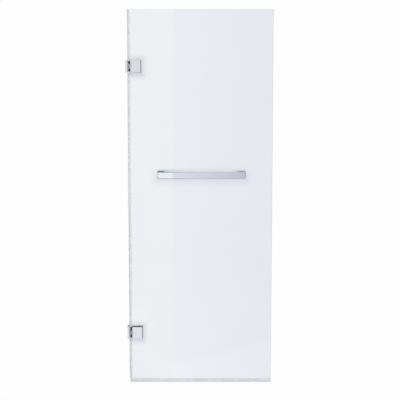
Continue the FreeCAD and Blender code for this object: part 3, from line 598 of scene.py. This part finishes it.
def fitting_shadow(tree, place, box, reach, top=0.0, foot=0.0):
    """Painted contact shadow on the glass round a fitting's box, drawn down by as much at its top
    and its foot.
    """
    low, high = (Vector(corner) for corner in box)
    low.z -= foot
    high.z -= top
    return effect(tree, "Painted Fitting Shadow", Vector=place, Centre=(low + high) / 2, Reach=reach,
                  **{"Half Size": (high - low) / 2})


def glass_finish():
    """Clear glass with ground edges, a painted shaded rim, wiped haze, dried drops, and painted
    contact shadow round the fittings.
    """
    own = settings().glass
    made, tree, shader, place = new_material("Toughened Glass")
    spread = axes(tree, place)
    low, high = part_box("glass_panel")
    masks = []
    for width in (own.edge_width, own.ground_width):
        rims = [effect(tree, "Rim Lines", Place=spread[axis], First=low[axis],
                       Second=high[axis], Width=width) for axis in (0, 2)]
        masks.append(calc(tree, "MAXIMUM", *rims))
    edge, ground = masks
    haze = effect(tree, "Wiped Haze", Vector=place, Scale=5.0, Low=0.985, High=1.0)
    # Painted shade on the rim of the faces, then the ground edges' own colour.
    tint = blend_colour(tree, edge, own.tint, own.edge_shade_tint)
    tint = blend_colour(tree, ground, tint, own.ground_tint)
    tint = tinted(tree, tint, changing_grey(tree, haze))
    # Painted contact shadow round the hinges and behind the towel bar.
    hinges = [fitting_shadow(tree, place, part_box(side + "_front_clamp_plate"), own.shadow_reach,
                           foot=own.hinge_shadow_run) for side in HINGES]
    tint = blend_colour(tree, calc(tree, "MAXIMUM", *hinges), tint,
                        tinted(tree, tint, own.hinge_shadow))
    bar = fitting_shadow(tree, place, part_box("towel_bar"), own.bar_shadow_reach,
                       top=own.bar_shadow_run, foot=own.bar_shadow_run)
    tint = blend_colour(tree, bar, tint, tinted(tree, tint, own.bar_shadow))
    drops = effect(tree, "Dried Drops", Vector=place, Scale=95.0, Amount=0.05)
    wiped = effect(tree, "Wiped Haze", Vector=place, Scale=9.0, Low=0.0, High=0.012)
    rough = ramp_between(tree, ground, 0.0, 1.0, calc(tree, "ADD", wiped, drops),
                         own.ground_roughness, smooth=False)
    feed_all(tree, shader, {"Base Color": tint, "Roughness": rough, "IOR": own.index,
                            "Transmission Weight": 1.0, "Coat Weight": 1.0,
                            "Coat IOR": own.coat_index, "Coat Roughness": 0.0})
    let_lamps_through(tree, shader, own.tint)
    return made


def chrome_finish(name, tone, shade_reach, shade_power, lines, line_tone):
    """Polished chrome: wiped haze, hairlines, dried drops, and painted shade where it is closed in.

    Painted shade darkens it along lines. Each line is an axis, two places on it, a spread, and how
    the shade changes across the door, as two places there and the shares at both, or None.
    """
    made, tree, shader, place = new_material(name)
    haze = effect(tree, "Wiped Haze", Vector=place, Scale=28.0, Low=0.975, High=1.0)
    # Painted shade: ambient occlusion darkens the chrome's colour in gaps and near the glass.
    near = add_node(tree, "ShaderNodeAmbientOcclusion", samples=8)
    near.inputs["Distance"].default_value = shade_reach
    light = product(tree, haze, calc(tree, "POWER", near.outputs["AO"], shade_power))
    spread = axes(tree, place)
    shade = 0.0
    # Painted shade lines, made patchy by a haze.
    for axis, first, second, width, change in lines:
        line = effect(tree, "Rim Lines", Place=spread[axis], First=first, Second=second,
                      Width=width)
        if change is not None:
            line = product(tree, line, ramp_between(tree, spread["X"], *change))
        shade = calc(tree, "MAXIMUM", line, shade)
    patchy = effect(tree, "Wiped Haze", Vector=place, Scale=60.0, Low=FULL_SHADE, High=1.0)
    light = product(tree, light, ramp_between(tree, product(tree, shade, patchy), 0.0, FULL_SHADE,
                                              1.0, line_tone, smooth=False))
    marks = effect(tree, "Hairlines", Vector=place, Amount=0.12)
    drops = effect(tree, "Dried Drops", Vector=place, Scale=240.0, Amount=0.10)
    worn = calc(tree, "MAXIMUM", marks, drops)
    film = effect(tree, "Wiped Haze", Vector=place, Scale=45.0, Low=0.010, High=0.022)
    feed_all(tree, shader, {"Base Color": tinted(tree, tone, changing_grey(tree, light)),
                            "Roughness": calc(tree, "ADD", film, worn), "Metallic": 1.0})
    bump(tree, shader, worn, strength=0.15, distance=0.00002)
    return made


def steel_finish():
    """Turned or drawn steel with fine lines."""
    made, tree, shader, place = new_material("Plain Steel")
    lines = effect(tree, "Drawn Lines", Vector=place, Stretch=(3000.0, 3000.0, 260.0))
    tone = settings().metal.steel_tone
    feed_all(tree, shader, {
        "Base Color": blend_colour(tree, lines, scaled(tone, STEEL_SHADE), tone),
        "Roughness": ramp_between(tree, lines, *NOISE_SPAN, *STEEL_ROUGHNESS), "Metallic": 1.0})
    bump(tree, shader, lines, strength=0.2, distance=0.00003)
    return made


def vinyl_finish(name, tint, stretch, clear, rough, web=None):
    """Extruded vinyl: lines along the moulding, a little milk, a darker web, soft gloss."""
    own = settings().seals
    made, tree, shader, place = new_material(name)
    lines = effect(tree, "Drawn Lines", Vector=place, Stretch=stretch)
    haze = effect(tree, "Wiped Haze", Vector=place, Scale=16.0, Low=0.0, High=1.0)
    mean = product(tree, calc(tree, "ADD", lines, haze), 0.5)
    colour = blend_colour(tree, mean, scaled(tint, VINYL_SHADE), tint)
    if web is not None:
        inside = ramp_between(tree, axes(tree, place)["X"], web - own.web_fade, web + own.web_fade)
        colour = blend_colour(tree, inside, tinted(tree, colour, own.web_tone), colour)
    feed_all(tree, shader, {
        "Base Color": colour, "IOR": own.index, "Transmission Weight": clear,
        "Roughness": ramp_between(tree, lines, *NOISE_SPAN, *scaled(VINYL_SPREAD, rough)),
        "Coat Weight": 0.5, "Coat Roughness": rough})
    bump(tree, shader, lines, strength=0.1, distance=0.00002)
    let_lamps_through(tree, shader, tint)
    return made


def moulded_finish(name, tone, rough, grain):
    """Plain moulded rubber or plastic with a fine grain."""
    made, tree, shader, place = new_material(name)
    haze = effect(tree, "Wiped Haze", Vector=place, Scale=90.0, Low=0.0, High=1.0)
    low, high = scaled(MOULDED_SPREAD, rough)
    fine = effect(tree, "Wiped Haze", Vector=place, Scale=grain, Low=low, High=high)
    colour = blend_colour(tree, haze, scaled(tone, MOULDED_SHADE), tone)
    feed_all(tree, shader, {"Base Color": colour, "Roughness": fine})
    bump(tree, shader, fine, strength=0.3, distance=0.00004)
    return made


def dress(names, finish):
    """Gives CAD nodes a finish by their own material slots."""
    for name in names:
        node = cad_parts[name]
        if not node.data.materials:
            node.data.materials.append(None)
        for place in node.material_slots:
            place.material = finish


# Pieces
UPRIGHT_LINES = (900.0, 900.0, 6.0)
LEVEL_LINES = (6.0, 900.0, 900.0)


def add_object(name, data):
    made = bpy.data.objects.new(name, data)
    bpy.context.scene.collection.objects.link(made)
    return made


class TUBDOOR_OT_glass(Operator):
    """Clear toughened glass for the panel"""
    bl_idname = "tub_door.glass"
    bl_label = "Glass"

    def execute(self, context):
        dress(["glass_panel"], glass_finish())
        return {"FINISHED"}


class TUBDOOR_OT_hinges(Operator):
    """Polished chrome for the hinges, plain steel for the pins, screws and springs"""
    bl_idname = "tub_door.hinges"
    bl_label = "Hinges"

    def execute(self, context):
        own = settings().metal
        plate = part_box("lower_front_clamp_plate")[0][0]
        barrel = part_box("lower_rear_clamp_body")[0][0]
        middle = (barrel + plate) / 2
        # Painted shade across the gap between the wall block and the clamp plate; the rear body
        # takes a much deeper painted shade.
        gap = [("X", middle, middle, own.gap_spread, None)]
        dress(HINGE_FACE_NODES, chrome_finish("Hinge Chrome", own.hinge_shaded_tone, own.gap_reach,
                                              own.face_shade, gap, own.neck_tone))
        dress(HINGE_BODY_NODES, chrome_finish("Hinge Body Chrome", own.hinge_shaded_tone, own.gap_reach,
                                              own.inner_shade, gap, own.barrel_tone))
        dress(STEEL_NODES, steel_finish())
        return {"FINISHED"}


class TUBDOOR_OT_towel_bar(Operator):
    """Polished chrome for the towel bar, its posts and its rear discs"""
    bl_idname = "tub_door.towel_bar"
    bl_label = "Towel Bar"

    def execute(self, context):
        own = settings().metal
        low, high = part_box("bar_end_caps")
        middle = (low[0] + high[0]) / 2
        # Painted shade lines along the bar's ends, along its lower edge (thinner on the right half)
        # and along its upper edge on the left half only.
        edges = [("X", low[0], high[0], own.end_spread, None),
                 ("Z", low[2], low[2], own.edge_spread, (low[0], middle, 1.0, own.thin_shade)),
                 ("Z", high[2], high[2], own.edge_spread, (low[0], middle, 1.0, 0.0))]
        dress(POLISHED_BAR_NODES, chrome_finish("Bar Chrome", own.bar_tone, own.post_reach,
                                                own.post_shade, edges, own.edge_tone))
        return {"FINISHED"}


class TUBDOOR_OT_pads(Operator):
    """Pale pads, bushes and sleeves between the metal and the glass"""
    bl_idname = "tub_door.pads"
    bl_label = "Pads and Bushes"

    def execute(self, context):
        own = settings().seals
        dress(PAD_NODES, moulded_finish("Soft Pads", own.pad_tone, own.pad_roughness, 900.0))
        dress(BUSH_NODES, moulded_finish("Plain Bushes", own.bush_tone, own.bush_roughness,
                                         1500.0))
        return {"FINISHED"}


class TUBDOOR_OT_edge_seals(Operator):
    """Clear vinyl for the seals on the hinge edge"""
    bl_idname = "tub_door.edge_seals"
    bl_label = "Edge Seals"

    def execute(self, context):
        own = settings().seals
        dress(EDGE_SEAL_NODES, vinyl_finish("Upright Clear Vinyl", own.vinyl_tint, UPRIGHT_LINES,
                                            own.vinyl_clear, own.vinyl_roughness,
                                            web=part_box("glass_panel")[0][0]))
        return {"FINISHED"}


def fin_stations(own):
    """Outer and inner points round half of the sweep's section, then the fin's lowest point."""
    low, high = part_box("sweep_wiper")
    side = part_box("sweep_carrier")[1][1]
    wall = own.fin_thickness
    top = high[2] - own.fin_seam
    foot = high[2] - wall
    tip = low[2] + wall / 2
    stations = [((0.0, top), (0.0, foot)), ((side, top), (side - wall, foot))]
    for row in range(1, own.fin_rows + 1):
        share = row / own.fin_rows
        bow = own.fin_bow * math.sin(math.pi * share)
        middle = side - wall / 2 + (high[1] - side) * share ** 2 - bow
        half = wall / 2 * (1.0 - own.fin_thinning * share)
        height = foot + (tip - foot) * share
        stations.append(((middle + half, height), (middle - half, height)))
    for row in range(1, own.tip_rows):
        turn = math.pi / 2 * row / own.tip_rows
        width = half * math.cos(turn)
        height = tip - wall / 2 * math.sin(turn)
        stations.append(((middle + width, height), (middle - width, height)))
    return stations, (middle, low[2])


def fins_mesh(name):
    """Both soft fins under their foot, drawn out along the door, with a slow ripple in them."""
    own = settings().seals
    low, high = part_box("sweep_wiper")
    stations, tip = fin_stations(own)
    shape = bmesh.new()
    for side in (1, -1):
        pairs = [[shape.verts.new((low[0], side * y, z)) for y, z in pair] for pair in stations]
        for (outer, inner), (next_outer, next_inner) in zip(pairs, pairs[1:]):
            shape.faces.new((outer, inner, next_inner, next_outer))
        shape.faces.new((*pairs[-1], shape.verts.new((low[0], side * tip[0], tip[1]))))
    weld = own.fin_thickness / 100
    bmesh.ops.remove_doubles(shape, verts=shape.verts, dist=weld)
    front = list(shape.faces)
    step = (high[0] - low[0]) / own.fin_steps
    for _ in range(own.fin_steps):
        grown = bmesh.ops.extrude_face_region(shape, geom=front)["geom"]
        front = [part for part in grown if isinstance(part, bmesh.types.BMFace)]
        corners = [part for part in grown if isinstance(part, bmesh.types.BMVert)]
        bmesh.ops.translate(shape, verts=corners, vec=(step, 0.0, 0.0))
    for corner in shape.verts:
        share = (high[2] - corner.co.z) / (high[2] - low[2])
        wave = (1.0 + math.sin(math.tau * corner.co.x / own.ripple_length)) / 2
        corner.co.y -= math.copysign(own.ripple * share ** 2 * wave, corner.co.y)
    bmesh.ops.recalc_face_normals(shape, faces=shape.faces)
    data = bpy.data.meshes.new(name)
    shape.to_mesh(data)
    shape.free()
    data.shade_smooth()
    data.set_sharp_from_angle(angle=own.sharp_angle)
    return data


class TUBDOOR_OT_sweep(Operator):
    """The clear carrier under the glass and its two soft fins"""
    bl_idname = "tub_door.sweep"
    bl_label = "Sweep"

    def execute(self, context):
        own = settings().seals
        dress(["sweep_carrier"], vinyl_finish("Level Clear Vinyl", own.carrier_tint, LEVEL_LINES,
                                              own.sweep_clear, own.vinyl_roughness))
        data = fins_mesh("sweep_fins")
        data.materials.append(vinyl_finish("Soft Vinyl", own.fin_tint, LEVEL_LINES,
                                           own.sweep_clear, own.fin_roughness))
        fins = add_object("sweep_fins", data)
        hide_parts("sweep_wiper")
        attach(fins, "door")
        return {"FINISHED"}


# Stage
def tone_ramp(tree, value, stops):
    """Grey tones between (place, tone) stops on 0 to 1."""
    made = add_node(tree, "ShaderNodeValToRGB")
    wire(tree, value, made.inputs[0])
    elements = made.color_ramp.elements
    elements.remove(elements[-1])
    elements[0].position = stops[0][0]
    elements[0].color = (*grey(stops[0][1]), 1.0)
    for place, tone in stops[1:]:
        elements.new(place).color = (*grey(tone), 1.0)
    return made.outputs["Color"]


# Places in the studio are slopes: how far a mirrored ray goes across or up for each metre ahead.
NEAR_ZERO = 0.001    # no slope is worked out for less ahead than this
FRONT_ANGLE = math.radians(16.0)    # the screens reach this far to both sides
SCREEN_EDGE = 0.0012    # softness of the screens' edges
SCREEN_LOW = -0.25    # here the left screen has reached its lower end's colour
# Small lamps on the left screen: down, half height, and across where each starts and ends.
LOW_LAMP = (0.243, 0.009, (-0.080, -0.075, -0.049, -0.042))
MIDDLE_LAMP = (0.102, 0.004, (-0.0405, -0.0395, -0.020, -0.015))
LAMP_FADE = 2.5    # half heights at which a small lamp's light ends
# Tones round the door by compass angle in degrees: 0 in front of it, to the left negative.
COMPASS = [(-180, 0.90), (-168, 0.90), (-158, 0.30), (-112, 0.30), (-100, 0.90), (-18, 0.90),
           (18, 0.75), (66, 0.75), (76, 0.33), (97, 0.33), (106, 0.85), (180, 0.90)]
# Above and below the side tones end. These two are heights on a ball of radius 1.
OVERHEAD = math.sin(math.radians(35.0))
OVERHEAD_EDGE = 0.04
TOP_LIGHT = 0.80
TOP_CARD = 0.2    # tone of a dark card overhead, just in front of the door
TOP_CARD_END = -0.13    # slope towards the back at which that card ends
TOP_CARD_EDGE = 0.02
FLOOR_LIGHT = (0.72, 1.0)    # light from the floor before and behind the door
FLOOR_SLOPES = (0.02, 0.20)    # slopes towards the back between which it changes
# Dark card behind the door, which level tops mirror: tones across, lower and upper edge.
BACK_CARD = [(-0.0335, 0.03), (-0.0315, 0.85), (0.0330, 0.85), (0.0350, 0.30)]
BACK_CARD_EDGES = (0.045, 0.07, 0.255, 0.275)
BACK_CARD_WIDTH = 0.7
BACK_CARD_SCALE = 10.0    # brings the slopes of its tones to a ramp's 0 to 1
RAMP_MIDDLE = 0.5
SENSOR_WIDTH = 36.0    # millimetres
VIEW_REACH = 100.0    # metres


def small_lamp(tree, across, up, lamp):
    """1 where a small lamp lies on the left screen."""
    drop, half, edges = lamp
    away = calc(tree, "ABSOLUTE", calc(tree, "ADD", up, drop))
    return product(tree, ramp_between(tree, away, half, LAMP_FADE * half, 1.0, 0.0),
                   band(tree, across, *edges))


def front_screens(tree, own, across, up):
    """Two screens in front of the door, with the floor's light at the foot of the right one."""
    low = ramp_between(tree, up, SCREEN_LOW, 0.0, 1.0, 0.0)
    left = blend_colour(tree, low, own.left_screen, own.left_screen_low)
    for lamp, colour in ((LOW_LAMP, own.low_lamp), (MIDDLE_LAMP, own.middle_lamp)):
        left = blend_colour(tree, small_lamp(tree, across, up, lamp), left, colour, "ADD")
    end = own.screen_join + own.screen_span
    far = ramp_between(tree, across, own.screen_join, end, smooth=False)
    right = blend_colour(tree, far, own.right_screen, own.right_screen_end)
    line = calc(tree, "ADD", product(tree, across, own.floor_sheen_rise), own.floor_sheen_top)
    below = ramp_between(tree, calc(tree, "SUBTRACT", up, line), -SCREEN_EDGE, SCREEN_EDGE,
                         1.0, 0.0)
    right = blend_colour(tree, below, right, own.floor_sheen, "ADD")
    side = ramp_between(tree, across, own.screen_join - SCREEN_EDGE, own.screen_join + SCREEN_EDGE)
    return blend_colour(tree, side, left, right)


def studio_tones(tree, own):
    """What metal and glass mirror: screens in front, plain walls and a few dark cards."""
    x, y, z = axes(tree, add_node(tree, "ShaderNodeTexCoord").outputs["Generated"])
    depth = calc(tree, "MAXIMUM", calc(tree, "ABSOLUTE", y), NEAR_ZERO)
    across = calc(tree, "DIVIDE", x, depth)
    up = calc(tree, "DIVIDE", z, depth)
    angle = calc(tree, "ARCTAN2", x, product(tree, y, -1.0))
    turn = calc(tree, "ADD", calc(tree, "DIVIDE", angle, math.tau), RAMP_MIDDLE)
    walls = tone_ramp(tree, turn, [(place / 360 + RAMP_MIDDLE, tone) for place, tone in COMPASS])
    ahead = calc(tree, "LESS_THAN", calc(tree, "ABSOLUTE", angle), FRONT_ANGLE)
    level = blend_colour(tree, ahead, walls, front_screens(tree, own, across, up))
    height = calc(tree, "ABSOLUTE", z)
    back = calc(tree, "DIVIDE", y, calc(tree, "MAXIMUM", height, NEAR_ZERO))
    above = ramp_between(tree, back, TOP_CARD_END - TOP_CARD_EDGE, TOP_CARD_END + TOP_CARD_EDGE,
                         TOP_CARD, TOP_LIGHT)
    below = ramp_between(tree, back, *FLOOR_SLOPES, *FLOOR_LIGHT)
    upward = calc(tree, "GREATER_THAN", z, 0.0)
    ends = blend_colour(tree, upward, changing_grey(tree, below), changing_grey(tree, above))
    over = ramp_between(tree, height, OVERHEAD - OVERHEAD_EDGE, OVERHEAD + OVERHEAD_EDGE)
    return blend_colour(tree, over, level, ends), y, across, up


def back_card(tree, y, across, up):
    """1 where a ray meets the dark card behind the door, and the card's tone there."""
    narrow = calc(tree, "LESS_THAN", calc(tree, "ABSOLUTE", across), BACK_CARD_WIDTH)
    mask = product(tree, band(tree, up, *BACK_CARD_EDGES), narrow,
                   calc(tree, "GREATER_THAN", y, 0.0))
    spot = calc(tree, "ADD", product(tree, across, BACK_CARD_SCALE), RAMP_MIDDLE)
    return mask, tone_ramp(tree, spot, [(slope * BACK_CARD_SCALE + RAMP_MIDDLE, tone)
                                        for slope, tone in BACK_CARD])


def studio_world(own):
    """White to the camera and through glass, soft light on dull surfaces, the studio in mirrors."""
    world = bpy.data.worlds.new("Studio")
    world.use_nodes = True
    tree = world.node_tree
    path = add_node(tree, "ShaderNodeLightPath").outputs
    seen = calc(tree, "MAXIMUM", path["Is Camera Ray"], path["Is Transmission Ray"])
    mirror = product(tree, path["Is Glossy Ray"],
                     calc(tree, "SUBTRACT", 1.0, path["Is Transmission Ray"]))
    studio, y, across, up = studio_tones(tree, own)
    colour = blend_colour(tree, mirror, grey(own.soft_light), studio)
    colour = blend_colour(tree, seen, colour, own.backdrop)
    mask, tone = back_card(tree, y, across, up)
    mirrored = calc(tree, "GREATER_THAN", path["Glossy Depth"], 0.5)
    colour = blend_colour(tree, product(tree, mask, mirrored), colour, tone)
    wire(tree, colour, tree.nodes["Background"].inputs["Color"])
    bpy.context.scene.world = world


def floor_finish(own):
    """Pale floor that shows the backdrop's colour and keeps the door's soft shadow."""
    made, tree, shader, _ = new_material("Pale Floor")
    path = add_node(tree, "ShaderNodeLightPath").outputs
    seen = calc(tree, "MAXIMUM", path["Is Camera Ray"], path["Is Transmission Ray"])
    seen = calc(tree, "MAXIMUM", seen, path["Is Glossy Ray"])
    glow = [max(part - own.floor_tone * own.soft_light, 0.0) for part in own.backdrop]
    feed_all(tree, shader, {"Base Color": (*grey(own.floor_tone), 1.0), "Roughness": 1.0,
                            "Specular IOR Level": 0.0, "Emission Strength": 1.0,
                            "Emission Color": blend_colour(tree, seen, grey(0.0), glow)})
    return made


def add_floor(own):
    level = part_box("sweep_wiper")[0][2] - own.floor_drop
    shape = bmesh.new()
    middle = Matrix.Translation((own.floor_middle, 0.0, level))
    bmesh.ops.create_circle(shape, cap_ends=True, segments=own.floor_steps,
                            radius=own.floor_radius, matrix=middle)
    data = bpy.data.meshes.new("floor")
    shape.to_mesh(data)
    shape.free()
    data.materials.append(floor_finish(own))
    floor = add_object("floor", data)
    floor.visible_glossy = False


def add_key(own):
    """One large soft lamp that only lights and is never seen itself."""
    lamp = bpy.data.lights.new("soft_key", "AREA")
    lamp.shape = "DISK"
    lamp.size = own.key_size
    lamp.energy = own.key_power
    key = add_object("soft_key", lamp)
    key.location = own.key_place
    aim = Vector(own.key_aim) - key.location
    key.rotation_euler = aim.to_track_quat("-Z", "Y").to_euler()
    key.visible_glossy = False
    key.visible_camera = False
    key.visible_transmission = False


def add_camera(own):
    view = bpy.data.cameras.new("camera")
    view.sensor_width = SENSOR_WIDTH
    view.lens = own.lens
    view.clip_end = VIEW_REACH
    camera = add_object("camera", view)
    camera.location = own.camera_place
    camera.rotation_euler = (math.pi / 2 - own.camera_tilt, 0.0, 0.0)
    bpy.context.scene.camera = camera


class TUBDOOR_OT_stage(Operator):
    """Floor, studio light and camera"""
    bl_idname = "tub_door.stage"
    bl_label = "Stage"

    def execute(self, context):
        own = settings().stage
        add_floor(own)
        studio_world(own)
        add_key(own)
        add_camera(own)
        context.scene.view_settings.view_transform = "Standard"
        return {"FINISHED"}


OPERATORS = (TUBDOOR_OT_glass, TUBDOOR_OT_hinges, TUBDOOR_OT_towel_bar, TUBDOOR_OT_pads,
             TUBDOOR_OT_edge_seals, TUBDOOR_OT_sweep, TUBDOOR_OT_stage)


class TUBDOOR_PT_panel(Panel):
    """Lists the door's pieces and their settings"""
    bl_label = "Tub Door"
    bl_idname = "TUBDOOR_PT_panel"
    bl_space_type = "VIEW_3D"
    bl_region_type = "UI"
    bl_category = "Tub Door"

    def draw(self, context):
        own = settings()
        for kind in OPERATORS:
            self.layout.operator(kind.bl_idname)
        for part in (own.stage, own.glass, own.metal, own.seals):
            box = self.layout.box()
            for name in part.bl_rna.properties.keys():
                if name not in ("rna_type", "name"):
                    box.prop(part, name)


CLASSES = (StageSettings, GlassSettings, MetalSettings, SealSettings, TubDoorSettings,
           *OPERATORS, TUBDOOR_PT_panel)


def register():
    for kind in CLASSES:
        bpy.utils.register_class(kind)
    bpy.types.Scene.tub_door = PointerProperty(type=TubDoorSettings)


def unregister():
    del bpy.types.Scene.tub_door
    for kind in reversed(CLASSES):
        bpy.utils.unregister_class(kind)


def main():
    register()
    for kind in OPERATORS:
        group, name = kind.bl_idname.split(".")
        getattr(getattr(bpy.ops, group), name)()


if __name__ == "__main__":
    main()
